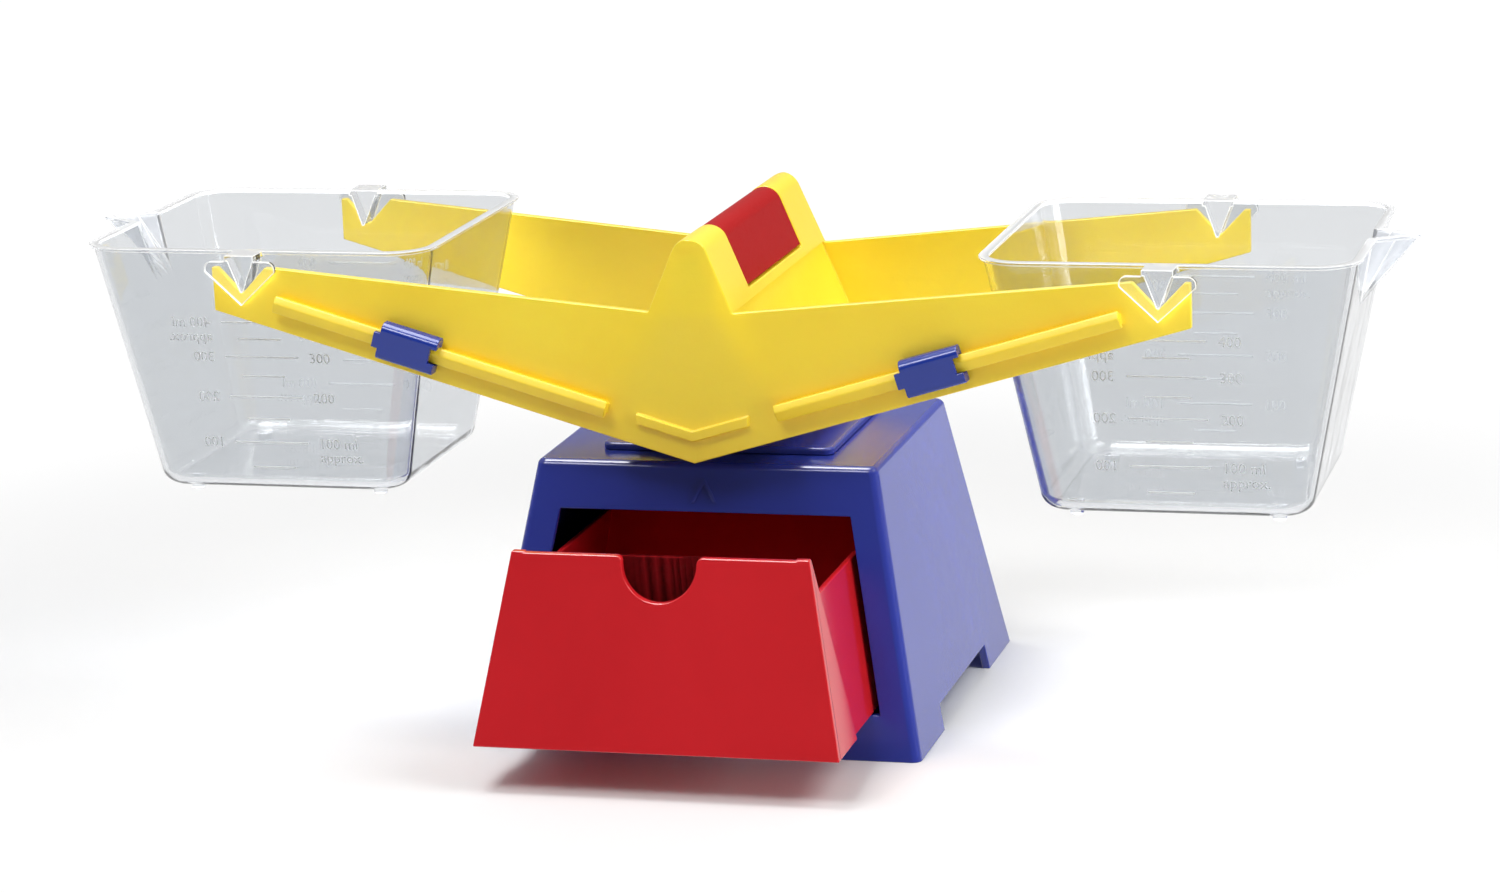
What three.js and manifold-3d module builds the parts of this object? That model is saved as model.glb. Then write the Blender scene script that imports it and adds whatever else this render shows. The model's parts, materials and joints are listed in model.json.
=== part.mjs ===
// Toy bucket balance in millimetres, +Z up, with its front towards -Y.
// A V-shaped rocker beam sits on a knife edge and carries two clear buckets and two sliding compensators.
// The base below it holds a drawer, which stands part-way out.
import * as THREE from 'three';
import { mergeVertices } from 'three/addons/utils/BufferGeometryUtils.js';
import Module from 'manifold-3d';

const wasm = await Module();
wasm.setup();

// Fits between pieces
const SEAT_GAP = 0.3;
const DRAWER_GAP = 0.5;
const SLIDE_GAP = 0.3;
const SCREW_GAP = 0.15;

// Base shell, a hollow frustum with rounded edges
const BASE_HEIGHT = 86;
const BASE_WIDTH = 139;
const BASE_DEPTH = 138;
const BASE_TOP_WIDTH = 107;
const BASE_TOP_DEPTH = 97;
const BASE_WALL = 2.5;
const BASE_INNER_RADIUS = 0.4;
const BASE_TOP_ROUND = 1.8;
const SIDE_CUT_LENGTH = 67;
const SIDE_CUT_HEIGHT = 8;
const SIDE_CUT_SLANT = 2;
const POINTER_WIDTH = 8;
const POINTER_HEIGHT = 7.5;
const POINTER_LINE = 1;
const POINTER_RELIEF = 0.5;

// Drawer opening in the base's front
const SILL_LIP = 2;
const LINTEL_HEIGHT = 14.6;
const PILLAR_WIDTH = 10.4;

// Floor plate inside the base, with the drawer's runners
const FLOOR_THICKNESS = 2.5;
const FLOOR_ABOVE_CUT = 1;
const RUNNER_WIDTH = 3;
const RUNNER_SPACING = 80;
const RUNNER_INSET = 6;
const CORNER_BLOCK = 8.5;
const CORNER_BLOCK_HEIGHT = 15;

// Screws
const SCREW_RADIUS = 1.3;
const SCREW_HEAD_RADIUS = 2.9;
const SCREW_HEAD_HEIGHT = 2;
const SCREW_BITE = 10;
const SCREW_TIP = 1.5;
const BOSS_RADIUS = 3.6;
const BOSS_WEB = 2;
const STAND_SCREW_SPACING = 36;

// Fulcrum stand, a flange with a hollow knife-edged post
const FLANGE_WIDTH = 73;
const FLANGE_DEPTH = 70;
const FLANGE_THICKNESS = 2.1;
const FLANGE_CORNER_RADIUS = 3;
const FLANGE_ROUND = 0.8;
const POST_DEPTH = 60;
const POST_WALL = 2.2;
const POST_HALF_ANGLE = THREE.MathUtils.degToRad(11.5);
const KNIFE_WIDTH = 0.8;

// Drawer
const DRAWER_OUT = 50;
const PANEL_THICKNESS = 2.6;
const PANEL_TOP_GAP = 0.9;
const FINGER_NOTCH_RADIUS = 11.4;
const FINGER_NOTCH_LIP = 1.9;
const NUB_LENGTH = 4;
const NUB_HEIGHT = 0.4;
const RETURN_THICKNESS = 1.2;
const RETURN_LENGTH = 23;
const TRAY_TOP_GAP = 12.4;
const TRAY_WALL = 1.8;
const TRAY_BACK_GAP = 2;

// Rocker beam, measured from the knife edge that it rocks on
const BEAM_WIDTH = 120;
const BEAM_WALL = 2.5;
const BEAM_DROP = 61.4;
const BEAM_CLEARANCE = 2.6;
const ARM_LENGTH = 151.5;
const ARM_END_LOW = 16.9;
const ARM_END_HIGH = 3.3;
const NOTCH_INSET = 9.5;
const NOTCH_DROP = 11.5;
const NOTCH_HALF_WIDTH = 7.7;
const HUMP_RISE = 7;
const HUMP_RADIUS = 5.8;
const HUMP_HALF_ANGLE = THREE.MathUtils.degToRad(22.5);
const SHOULDER_DROP = 15.3;
const SHOULDER_STEP = 0.6;
const TENT_HALF_ANGLE = THREE.MathUtils.degToRad(22);
const TENT_WALL = 2.4;
const HUMP_SKIN = 2.2;
const RAIL_START = 30;
const RAIL_END_INSET = 18.1;
const RAIL_LIFT = 8.5;
const RAIL_STEM_WIDTH = 3.2;
const RAIL_STEM_HEIGHT = 1.7;
const RAIL_HEAD_WIDTH = 5.2;
const RAIL_HEAD_HEIGHT = 1.4;
const RAIL_CROWN = 0.9;
const RAIL_RIDGE_LIFT = 0.5;
const RIB_HALF_LENGTH = 17.5;
const RIB_LIFT = 7;
const RIB_WIDTH = 3.2;
const RIB_RELIEF = 1.5;

// Saddle cap set into the hump
const SADDLE_LENGTH = 66;
const SADDLE_THICKNESS = 2;
const SADDLE_SINK = 0.15;
const SADDLE_LOW_EDGE = 11.6;
const SADDLE_LOW_GAP = 0.7;
const TAB_LENGTH = 12;
const TAB_HEIGHT = 1.6;
const TAB_RISE = 2.6;

// Compensators, clips that hook round the rail's head
const CLIP_LENGTH = 18.4;
const CLIP_HALF_HEIGHT = 5.7;
const CLIP_PLATE = 1.8;
const CLIP_WALL_GAP = 0.5;
const CLIP_ROUND = 1.5;
const CLIP_TOP_ROUND = 2.6;
const CLIP_TAB = 2;
const CLIP_TAB_WIDTH = 4.8;
const LEFT_CLIP_AT = 94;
const RIGHT_CLIP_AT = 80.8;

// Buckets, measured from the notch that each hangs in
const BUCKET_RIM_RISE = 12.2;
const BUCKET_HEIGHT = 79;
const BUCKET_RIM_LENGTH = 112;
const BUCKET_SIDE_GAP = 3.2;
const BUCKET_BOTTOM_LENGTH = 81.4;
const BUCKET_BOTTOM_DEPTH = 80.8;
const BUCKET_WALL = 1.8;
const BUCKET_RIM_CORNER = 13;
const BUCKET_BOTTOM_CORNER = 10;
const BUCKET_FILLET = 4;
const RIM_BEAD = 1.2;
const RIM_BEAD_HEIGHT = 1.1;
const SPOUT_REACH = 13.6;
const SPOUT_WIDTH = 18;
const SPOUT_HEIGHT = 19.2;
const SPOUT_ROOT_STEP = 2;
const LUG_BRIDGE_WIDTH = 9.5;
const LUG_BRIDGE_HEIGHT = 1.9;
const LUG_TOP_WIDTH = 8.6;
const LUG_EDGE_WIDTH = 0.5;
const SHIELD_GAP = 0.5;
const SHIELD_THICKNESS = 1.8;
const SHIELD_WIDTH = 23;
const SHIELD_HEIGHT = 13.9;
const SHIELD_SIDE = 3.3;
const SHIELD_CORNER = 2.4;
const FOOT_RADIUS = 2.5;
const FOOT_HEIGHT = 2.6;
const FOOT_INSET = 10;

const ARC_STEPS = 9;
const ROUND_SIDES = 24;
const OVERCUT = 20;

// Sizes that follow from the ones above
const BASE_CORNER_RADIUS = BASE_WALL + BASE_INNER_RADIUS;
const FLOOR_BOTTOM = SIDE_CUT_HEIGHT + FLOOR_ABOVE_CUT;
const FLOOR_TOP = FLOOR_BOTTOM + FLOOR_THICKNESS;
const SILL_HEIGHT = FLOOR_TOP + SILL_LIP;
const RUNNER_TOP = SILL_HEIGHT + DRAWER_GAP - SLIDE_GAP;
const OPENING_TOP = BASE_HEIGHT - LINTEL_HEIGHT;
const PANEL_BOTTOM = SILL_HEIGHT + DRAWER_GAP;
const PANEL_TOP = OPENING_TOP - PANEL_TOP_GAP;
const TRAY_TOP = OPENING_TOP - TRAY_TOP_GAP;
const FLANGE_BOTTOM = BASE_HEIGHT + SEAT_GAP;
const FLANGE_TOP = FLANGE_BOTTOM + FLANGE_THICKNESS;
const PIVOT_Z = BASE_HEIGHT + BEAM_CLEARANCE + BEAM_DROP;
const ARM_ANGLE = Math.atan2(BEAM_DROP - ARM_END_LOW, ARM_LENGTH);
const NOTCH_REACH = ARM_LENGTH - NOTCH_INSET;
const RAIL_END = (ARM_LENGTH - RAIL_END_INSET) / Math.cos(ARM_ANGLE);
const BEAM_FRONT = -BEAM_WIDTH / 2;
const BEAM_INSIDE = BEAM_WIDTH / 2 - BEAM_WALL;
const RAIL_EDGE_DEPTH = RAIL_STEM_HEIGHT + RAIL_HEAD_HEIGHT;
const RAIL_DEPTH = RAIL_EDGE_DEPTH + RAIL_CROWN;
const RECESS_DEPTH = SADDLE_SINK + SADDLE_THICKNESS + SEAT_GAP;
const BUCKET_BOTTOM = BUCKET_RIM_RISE - BUCKET_HEIGHT;
const BUCKET_RIM_DEPTH = 2 * (BEAM_INSIDE - BUCKET_SIDE_GAP - RIM_BEAD);
const NOTCH_HALF_ANGLE = Math.atan2(NOTCH_HALF_WIDTH, NOTCH_DROP - ARM_END_HIGH);
const LUG_EDGE_RISE = LUG_EDGE_WIDTH / 2 / Math.tan(NOTCH_HALF_ANGLE) + SEAT_GAP / Math.sin(NOTCH_HALF_ANGLE);
const SHIELD_INSIDE = BEAM_WIDTH / 2 + SHIELD_GAP;
const SHIELD_OUTSIDE = SHIELD_INSIDE + SHIELD_THICKNESS;

const X_AXIS = new THREE.Vector3(1, 0, 0);
const Y_AXIS = new THREE.Vector3(0, 1, 0);
const Z_AXIS = new THREE.Vector3(0, 0, 1);
const { lerp } = THREE.MathUtils;

// Solids from three.js geometry, for cutting and joining
function toSolid(geometry) {
  geometry.deleteAttribute('normal');
  geometry.deleteAttribute('uv');
  const merged = mergeVertices(geometry, 1e-4);
  return new wasm.Manifold(
    new wasm.Mesh({
      numProp: 3,
      vertProperties: new Float32Array(merged.attributes.position.array),
      triVerts: new Uint32Array(merged.index.array),
    }),
  );
}

function toGeometry(solid) {
  const mesh = solid.getMesh();
  const geometry = new THREE.BufferGeometry();
  geometry.setAttribute('position', new THREE.BufferAttribute(mesh.vertProperties, 3));
  geometry.setIndex(new THREE.BufferAttribute(mesh.triVerts, 1));
  geometry.computeVertexNormals();
  return geometry;
}

const join = (...solids) => solids.reduce((whole, solid) => whole.add(solid));
const cut = (solid, ...tools) => tools.reduce((rest, tool) => rest.subtract(tool), solid);

// An outline of [across, up] points, or a shape, drawn out by a depth
function extruded(outline, depth) {
  const drawn = outline instanceof THREE.Shape;
  const shape = drawn ? outline : new THREE.Shape(outline.map(([a, b]) => new THREE.Vector2(a, b)));
  return new THREE.ExtrudeGeometry(shape, { depth, bevelEnabled: false, curveSegments: ARC_STEPS * 2 });
}

// An outline in X and Z, drawn out along Y
function alongY(outline, yLow, yHigh) {
  const geometry = extruded(outline, yHigh - yLow);
  geometry.rotateX(Math.PI / 2);
  geometry.translate(0, yHigh, 0);
  return toSolid(geometry);
}

// An outline in Y and Z, drawn out along X
function alongX(outline, xLow, xHigh) {
  const geometry = extruded(outline, xHigh - xLow);
  geometry.applyMatrix4(new THREE.Matrix4().makeBasis(Y_AXIS, Z_AXIS, X_AXIS));
  geometry.translate(xLow, 0, 0);
  return toSolid(geometry);
}

function block(xLow, xHigh, yLow, yHigh, zLow, zHigh) {
  const geometry = new THREE.BoxGeometry(xHigh - xLow, yHigh - yLow, zHigh - zLow);
  geometry.translate((xLow + xHigh) / 2, (yLow + yHigh) / 2, (zLow + zHigh) / 2);
  return toSolid(geometry);
}

function rod(lowRadius, highRadius, x, y, zLow, zHigh) {
  const geometry = new THREE.CylinderGeometry(highRadius, lowRadius, zHigh - zLow, ROUND_SIDES);
  geometry.rotateX(Math.PI / 2);
  geometry.translate(x, y, (zLow + zHigh) / 2);
  return toSolid(geometry);
}

// A closed skin through rings of equal point counts, listed upwards, with a flat cap at each end
function loft(rings) {
  const count = rings[0].length;
  const points = rings.flat();
  const index = [];
  for (let low = 0; low < points.length - count; low += count) {
    for (let i = 0; i < count; i += 1) {
      const next = (i + 1) % count;
      index.push(low + i, low + next, low + count + next);
      index.push(low + i, low + count + next, low + count + i);
    }
  }
  const last = points.length - count;
  const bottom = points.length;
  const top = bottom + 1;
  for (let i = 0; i < count; i += 1) {
    const next = (i + 1) % count;
    index.push(bottom, next, i);
    index.push(top, last + i, last + next);
  }
  const centres = [rings[0], rings[rings.length - 1]].map((ring) => new THREE.Vector3(0, 0, ring[0].z));
  const geometry = new THREE.BufferGeometry().setFromPoints([...points, ...centres]);
  geometry.setIndex(index);
  return toSolid(geometry);
}

// A level rectangle with rounded corners, anticlockwise from its +X side
function roundedRing(halfX, halfY, radius, z) {
  const corners = [[1, 1], [-1, 1], [-1, -1], [1, -1]];
  return corners.flatMap(([sideX, sideY], quarter) =>
    Array.from({ length: ARC_STEPS + 1 }, (_, step) => {
      const angle = (quarter + step / ARC_STEPS) * (Math.PI / 2);
      const x = sideX * (halfX - radius) + radius * Math.cos(angle);
      const y = sideY * (halfY - radius) + radius * Math.sin(angle);
      return new THREE.Vector3(x, y, z);
    }),
  );
}

// Half sizes of the base's outside, and its front face, at a height
const baseHalfX = (z) => lerp(BASE_WIDTH, BASE_TOP_WIDTH, z / BASE_HEIGHT) / 2;
const baseHalfY = (z) => lerp(BASE_DEPTH, BASE_TOP_DEPTH, z / BASE_HEIGHT) / 2;
const frontFace = (z) => -baseHalfY(z);
const openingHalf = (z) => baseHalfX(z) - PILLAR_WIDTH;

// A trapezoid in X and Z that follows the drawer opening's sloping sides
function openingOutline(inset, zLow, zHigh) {
  const low = openingHalf(zLow) - inset;
  const high = openingHalf(zHigh) - inset;
  return [[-low, zLow], [low, zLow], [high, zHigh], [-high, zHigh]];
}

const floorScrewX = openingHalf(SILL_HEIGHT) + CORNER_BLOCK / 2;
const floorScrewY = baseHalfY(FLOOR_TOP + CORNER_BLOCK_HEIGHT) - BASE_WALL - CORNER_BLOCK / 2;
const CORNERS = {
  front_left: [-floorScrewX, -floorScrewY],
  front_right: [floorScrewX, -floorScrewY],
  rear_left: [-floorScrewX, floorScrewY],
  rear_right: [floorScrewX, floorScrewY],
};
const STAND_SCREWS = { front: [0, -STAND_SCREW_SPACING / 2], rear: [0, STAND_SCREW_SPACING / 2] };

// Base shell
function baseOutside() {
  const straight = [0, BASE_HEIGHT - BASE_TOP_ROUND].map((z) =>
    roundedRing(baseHalfX(z), baseHalfY(z), BASE_CORNER_RADIUS, z),
  );
  const rounded = Array.from({ length: ARC_STEPS }, (_, step) => {
    const angle = ((step + 1) / ARC_STEPS) * (Math.PI / 2);
    const z = BASE_HEIGHT - BASE_TOP_ROUND * (1 - Math.sin(angle));
    const inset = BASE_TOP_ROUND * (1 - Math.cos(angle));
    return roundedRing(baseHalfX(z) - inset, baseHalfY(z) - inset, BASE_CORNER_RADIUS - inset, z);
  });
  return loft([...straight, ...rounded]);
}

function baseInside() {
  const ring = (z) =>
    roundedRing(baseHalfX(z) - BASE_WALL, baseHalfY(z) - BASE_WALL, BASE_INNER_RADIUS, z);
  return loft([ring(-OVERCUT), ring(BASE_HEIGHT - BASE_WALL)]);
}

function pointerMark(outside) {
  const low = OPENING_TOP + POINTER_LINE * 3;
  const half = POINTER_WIDTH / 2;
  const chevron = [
    [-half, low],
    [-half + POINTER_LINE, low],
    [0, low + POINTER_HEIGHT - POINTER_LINE * 2],
    [half - POINTER_LINE, low],
    [half, low],
    [0, low + POINTER_HEIGHT],
  ];
  const bar = alongY(chevron, frontFace(0), frontFace(BASE_HEIGHT));
  return bar.intersect(outside.translate([0, -POINTER_RELIEF, 0]));
}

function baseShell() {
  const outside = baseOutside();
  const inside = baseInside();
  const opening = alongY(
    openingOutline(0, SILL_HEIGHT, OPENING_TOP),
    frontFace(0) - OVERCUT,
    frontFace(OPENING_TOP) + BASE_WALL + OVERCUT / 2,
  );
  const half = SIDE_CUT_LENGTH / 2;
  const sideCut = alongX(
    [
      [-half - SIDE_CUT_SLANT, -OVERCUT],
      [half + SIDE_CUT_SLANT, -OVERCUT],
      [half, SIDE_CUT_HEIGHT],
      [-half, SIDE_CUT_HEIGHT],
    ],
    -BASE_WIDTH,
    BASE_WIDTH,
  );
  const blockLow = FLOOR_TOP + SEAT_GAP;
  const blocks = Object.values(CORNERS).map(([x, y]) => {
    const xEnds = [x - Math.sign(x) * (CORNER_BLOCK / 2), Math.sign(x) * BASE_WIDTH].sort((a, b) => a - b);
    const yEnds = [y - Math.sign(y) * (CORNER_BLOCK / 2), Math.sign(y) * BASE_DEPTH].sort((a, b) => a - b);
    return block(...xEnds, ...yEnds, blockLow, blockLow + CORNER_BLOCK_HEIGHT).intersect(outside);
  });
  const pilots = Object.values(CORNERS).map(([x, y]) => {
    const radius = SCREW_RADIUS + SCREW_GAP;
    return rod(radius, radius, x, y, 0, blockLow + SCREW_BITE + SCREW_TIP);
  });
  const standHoles = Object.values(STAND_SCREWS).map(([x, y]) => {
    const radius = SCREW_RADIUS + SCREW_GAP;
    return rod(radius, radius, x, y, BASE_HEIGHT - BASE_WALL * 2, BASE_HEIGHT + OVERCUT);
  });
  const hollow = cut(join(outside, pointerMark(outside)), inside, opening, sideCut);
  return cut(join(hollow, ...blocks), ...pilots, ...standHoles);
}

// Floor plate with the drawer's two runners
function baseFloor() {
  const halfX = baseHalfX(FLOOR_TOP) - BASE_WALL - SEAT_GAP;
  const halfY = baseHalfY(FLOOR_TOP) - BASE_WALL - SEAT_GAP;
  const plate = loft([FLOOR_BOTTOM, FLOOR_TOP].map((z) => roundedRing(halfX, halfY, BASE_CORNER_RADIUS, z)));
  const runners = [-1, 1].map((side) => {
    const x = (side * RUNNER_SPACING) / 2;
    const reach = halfY - RUNNER_INSET;
    return block(x - RUNNER_WIDTH / 2, x + RUNNER_WIDTH / 2, -reach, reach, FLOOR_BOTTOM, RUNNER_TOP);
  });
  const holes = Object.values(CORNERS).map(([x, y]) => {
    const radius = SCREW_RADIUS + SCREW_GAP;
    return rod(radius, radius, x, y, FLOOR_BOTTOM - OVERCUT, FLOOR_TOP + OVERCUT);
  });
  return cut(join(plate, ...runners), ...holes);
}

// A pan-head screw that points up, with the underside of its head at zero
function screw(length) {
  const straight = length - SCREW_TIP;
  return join(
    rod(SCREW_HEAD_RADIUS * 0.8, SCREW_HEAD_RADIUS, 0, 0, -SCREW_HEAD_HEIGHT, 0),
    rod(SCREW_RADIUS, SCREW_RADIUS, 0, 0, -SCREW_HEAD_HEIGHT / 2, straight),
    rod(SCREW_RADIUS, SCREW_RADIUS / 3, 0, 0, straight, length),
  );
}

// Fulcrum stand
function fulcrumStand() {
  const ring = (inset, z) =>
    roundedRing(FLANGE_WIDTH / 2 - inset, FLANGE_DEPTH / 2 - inset, FLANGE_CORNER_RADIUS - inset, z);
  const flange = loft([
    ring(0, FLANGE_BOTTOM),
    ring(0, FLANGE_TOP - FLANGE_ROUND),
    ring(FLANGE_ROUND * 0.3, FLANGE_TOP - FLANGE_ROUND * 0.3),
    ring(FLANGE_ROUND, FLANGE_TOP),
  ]);
  const spread = Math.tan(POST_HALF_ANGLE);
  const postHalf = (z) => KNIFE_WIDTH / 2 + (PIVOT_Z - z) * spread;
  const wedge = (inset, zLow, zHigh) => [
    [-postHalf(zLow) + inset, zLow],
    [postHalf(zLow) - inset, zLow],
    [postHalf(zHigh) - inset, zHigh],
    [-postHalf(zHigh) + inset, zHigh],
  ];
  const inset = POST_WALL / Math.cos(POST_HALF_ANGLE);
  const hollowTop = PIVOT_Z - (inset + POST_WALL / 2) / spread;
  const post = alongY(wedge(0, FLANGE_BOTTOM, PIVOT_Z), -POST_DEPTH / 2, POST_DEPTH / 2);
  const hollowHalf = POST_DEPTH / 2 - POST_WALL;
  const hollow = alongY(wedge(inset, FLANGE_BOTTOM - POST_WALL, hollowTop), -hollowHalf, hollowHalf);
  const bossTop = FLANGE_BOTTOM + SCREW_BITE + BOSS_RADIUS;
  const bosses = Object.values(STAND_SCREWS).map(([x, y]) => {
    const web = block(-FLANGE_WIDTH, FLANGE_WIDTH, y - BOSS_WEB / 2, y + BOSS_WEB / 2, FLANGE_BOTTOM, bossTop);
    return join(rod(BOSS_RADIUS, BOSS_RADIUS, x, y, FLANGE_BOTTOM, bossTop), web.intersect(post));
  });
  const pilots = Object.values(STAND_SCREWS).map(([x, y]) => {
    const radius = SCREW_RADIUS + SCREW_GAP;
    return rod(radius, radius, x, y, FLANGE_BOTTOM - OVERCUT, FLANGE_BOTTOM + SCREW_BITE + SCREW_TIP);
  });
  return cut(join(cut(join(flange, post), hollow), ...bosses), ...pilots);
}

// Drawer, drawn where it lies when shut
function panelShape() {
  const low = openingHalf(PANEL_BOTTOM) - DRAWER_GAP;
  const high = openingHalf(PANEL_TOP) - DRAWER_GAP;
  const radius = FINGER_NOTCH_RADIUS;
  const lip = FINGER_NOTCH_LIP;
  const lipZ = PANEL_TOP - lip;
  const nubEnd = high - NUB_LENGTH;
  const shape = new THREE.Shape();
  shape.moveTo(-low, PANEL_BOTTOM);
  shape.lineTo(low, PANEL_BOTTOM);
  shape.lineTo(high, PANEL_TOP + NUB_HEIGHT);
  shape.lineTo(nubEnd, PANEL_TOP + NUB_HEIGHT);
  shape.lineTo(nubEnd, PANEL_TOP);
  shape.lineTo(radius + lip, PANEL_TOP);
  shape.absarc(radius + lip, lipZ, lip, Math.PI / 2, Math.PI, false);
  shape.absarc(0, lipZ, radius, 0, Math.PI, true);
  shape.absarc(-radius - lip, lipZ, lip, 0, Math.PI / 2, false);
  shape.lineTo(-nubEnd, PANEL_TOP);
  shape.lineTo(-nubEnd, PANEL_TOP + NUB_HEIGHT);
  shape.lineTo(-high, PANEL_TOP + NUB_HEIGHT);
  return shape;
}

const panelBack = (z) => frontFace(z) + PANEL_THICKNESS;
const DRAWER_LOW = PANEL_BOTTOM - OVERCUT;
const DRAWER_HIGH = PANEL_TOP + OVERCUT;

function drawerFront() {
  const slab = alongX(
    [
      [frontFace(DRAWER_LOW), DRAWER_LOW],
      [panelBack(DRAWER_LOW), DRAWER_LOW],
      [panelBack(DRAWER_HIGH), DRAWER_HIGH],
      [frontFace(DRAWER_HIGH), DRAWER_HIGH],
    ],
    -BASE_WIDTH,
    BASE_WIDTH,
  );
  const panel = alongY(panelShape(), frontFace(0) - OVERCUT, 0).intersect(slab);
  const gusset = alongX(
    [
      [frontFace(PANEL_BOTTOM), PANEL_BOTTOM],
      [frontFace(PANEL_BOTTOM) + RETURN_LENGTH, PANEL_BOTTOM],
      [panelBack(PANEL_TOP), PANEL_TOP],
      [frontFace(PANEL_TOP), PANEL_TOP],
    ],
    -BASE_WIDTH,
    BASE_WIDTH,
  );
  const outer = alongY(openingOutline(DRAWER_GAP, PANEL_BOTTOM, PANEL_TOP), frontFace(0), 0);
  const inner = openingOutline(DRAWER_GAP + RETURN_THICKNESS, DRAWER_LOW, DRAWER_HIGH);
  const returns = cut(gusset.intersect(outer), alongY(inner, frontFace(0) - OVERCUT, OVERCUT));
  return join(panel, returns);
}

function drawerTray() {
  const inset = DRAWER_GAP + RETURN_THICKNESS + SEAT_GAP;
  const back = baseHalfY(TRAY_TOP) - BASE_WALL - TRAY_BACK_GAP;
  const outer = alongY(openingOutline(inset, PANEL_BOTTOM, TRAY_TOP), frontFace(0), back);
  const room = openingOutline(inset + TRAY_WALL, PANEL_BOTTOM + TRAY_WALL, TRAY_TOP + OVERCUT);
  const inner = alongY(room, frontFace(0) - OVERCUT, back - TRAY_WALL);
  const behindPanel = alongX(
    [
      [panelBack(DRAWER_LOW) + SEAT_GAP, DRAWER_LOW],
      [BASE_DEPTH, DRAWER_LOW],
      [BASE_DEPTH, DRAWER_HIGH],
      [panelBack(DRAWER_HIGH) + SEAT_GAP, DRAWER_HIGH],
    ],
    -BASE_WIDTH,
    BASE_WIDTH,
  );
  return cut(outer, inner).intersect(behindPanel);
}

// Rocker beam, with the knife edge at its origin
const humpCentre = HUMP_RISE - HUMP_RADIUS;
const flankTop = { x: Math.cos(HUMP_HALF_ANGLE), z: Math.sin(HUMP_HALF_ANGLE) };

// Half width of the hump's flank at a height, drawn in by an offset
function flankHalf(z, offset) {
  const radius = HUMP_RADIUS - offset;
  const top = humpCentre + radius * flankTop.z;
  return radius * flankTop.x + (top - z) * Math.tan(HUMP_HALF_ANGLE);
}

const tentHalf = (z) => flankHalf(-SHOULDER_DROP, SHOULDER_STEP) - (z + SHOULDER_DROP) * Math.tan(TENT_HALF_ANGLE);
const edgeHeight = (x) => -BEAM_DROP + Math.abs(x) * Math.tan(ARM_ANGLE);

// Points over the hump's round top, from its right flank to its left
function humpArc(offset) {
  const radius = HUMP_RADIUS - offset;
  return Array.from({ length: ARC_STEPS * 2 + 1 }, (_, step) => {
    const angle = lerp(HUMP_HALF_ANGLE, Math.PI - HUMP_HALF_ANGLE, step / (ARC_STEPS * 2));
    return [radius * Math.cos(angle), humpCentre + radius * Math.sin(angle)];
  });
}

function humpOutline(offset, zLow) {
  const half = flankHalf(zLow, offset);
  return [[half, zLow], ...humpArc(offset), [-half, zLow]];
}

const mirrored = (points) => points.map(([x, z]) => [-x, z]).reverse();

function wallOutline() {
  const half = [
    [ARM_LENGTH, -ARM_END_LOW],
    [ARM_LENGTH, -ARM_END_HIGH],
    [NOTCH_REACH + NOTCH_HALF_WIDTH, -ARM_END_HIGH],
    [NOTCH_REACH, -NOTCH_DROP],
    [NOTCH_REACH - NOTCH_HALF_WIDTH, -ARM_END_HIGH],
    [flankHalf(-SHOULDER_DROP, 0), -SHOULDER_DROP],
  ];
  return [[0, -BEAM_DROP], ...half, ...humpArc(0), ...mirrored(half)];
}

function tentOutline() {
  const slope = Math.tan(TENT_HALF_ANGLE);
  const foot = tentHalf(-BEAM_DROP) / (1 + slope * Math.tan(ARM_ANGLE));
  const half = [
    [foot, edgeHeight(foot)],
    [flankHalf(-SHOULDER_DROP, SHOULDER_STEP), -SHOULDER_DROP],
    [flankHalf(-SHOULDER_DROP, 0), -SHOULDER_DROP],
  ];
  return [...half, ...humpArc(0), ...mirrored(half)];
}

function tentHollow() {
  const skin = RECESS_DEPTH + HUMP_SKIN;
  const wall = TENT_WALL / Math.cos(TENT_HALF_ANGLE);
  const below = -SHOULDER_DROP - TENT_WALL * 1.5;
  const low = -BEAM_DROP - OVERCUT;
  const half = [
    [tentHalf(low) - wall, low],
    [tentHalf(below) - wall, below],
    [flankHalf(-SHOULDER_DROP, skin), -SHOULDER_DROP],
    [flankHalf(SEAT_GAP, skin), SEAT_GAP],
  ];
  return [...half, ...mirrored(half)];
}

// A section of [outwards, up the wall] points drawn along one arm of the front wall, whose rail starts it
function alongArm(section, side, from, to) {
  const along = new THREE.Vector3(side * Math.cos(ARM_ANGLE), 0, Math.sin(ARM_ANGLE));
  const up = new THREE.Vector3(-side * Math.sin(ARM_ANGLE), 0, Math.cos(ARM_ANGLE));
  const origin = new THREE.Vector3(0, BEAM_FRONT, -BEAM_DROP)
    .addScaledVector(up, RAIL_LIFT)
    .addScaledVector(along, side > 0 ? to : from);
  const outwards = Y_AXIS.clone().negate();
  const depth = side > 0 ? along.clone().negate() : along;
  const geometry = extruded(section, to - from);
  geometry.applyMatrix4(new THREE.Matrix4().makeBasis(outwards, up, depth).setPosition(origin));
  return toSolid(geometry);
}

function railSection() {
  const stem = RAIL_STEM_WIDTH / 2;
  const head = RAIL_HEAD_WIDTH / 2;
  return [
    [-BEAM_WALL / 2, -stem],
    [RAIL_STEM_HEIGHT, -stem],
    [RAIL_STEM_HEIGHT, -head],
    [RAIL_EDGE_DEPTH, -head],
    [RAIL_DEPTH, RAIL_RIDGE_LIFT],
    [RAIL_EDGE_DEPTH, head],
    [RAIL_STEM_HEIGHT, head],
    [RAIL_STEM_HEIGHT, stem],
    [-BEAM_WALL / 2, stem],
  ];
}

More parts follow.
